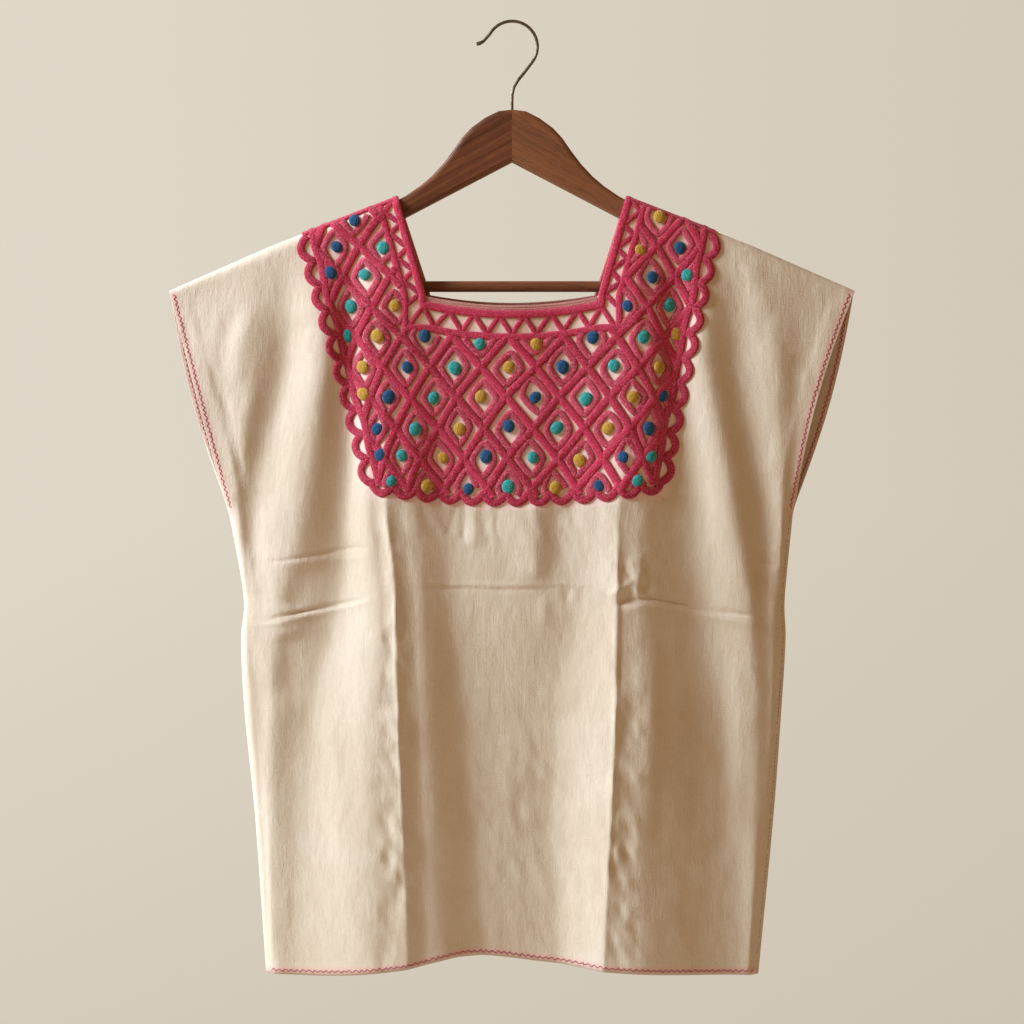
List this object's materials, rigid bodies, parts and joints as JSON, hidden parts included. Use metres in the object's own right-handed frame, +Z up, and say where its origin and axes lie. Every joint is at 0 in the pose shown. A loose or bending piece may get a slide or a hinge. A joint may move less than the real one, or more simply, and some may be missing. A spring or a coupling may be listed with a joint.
{
  "type": "blouse on hanger",
  "caption": "Square-neck cotton blouse with short cap sleeves and a raised embroidered yoke, hanging on a flat wooden hanger with a bar and a wire hook.",
  "frame": {"origin": "underside of the hook's bend, where a rail bears, in the blouse's middle plane", "axes": "+Z up from the blouse to the hook, +X along the hanger, -Y out of the blouse's front"},
  "size_m": [0.602, 0.0704, 0.8377],
  "materials": {
    "cotton": "natural undyed cotton, plain weave with slubs",
    "thread": "matt rose embroidery thread",
    "wood": "walnut brown, satin varnish",
    "steel": "dull wire"
  },
  "bodies": {
    "root": {"front_panel": "cotton", "back_panel": "cotton", "front_yoke": "thread", "back_yoke": "thread", "hanger_arms": "wood", "hanger_bar": "wood", "hanger_hook": "steel"}
  },
  "joints": []
}
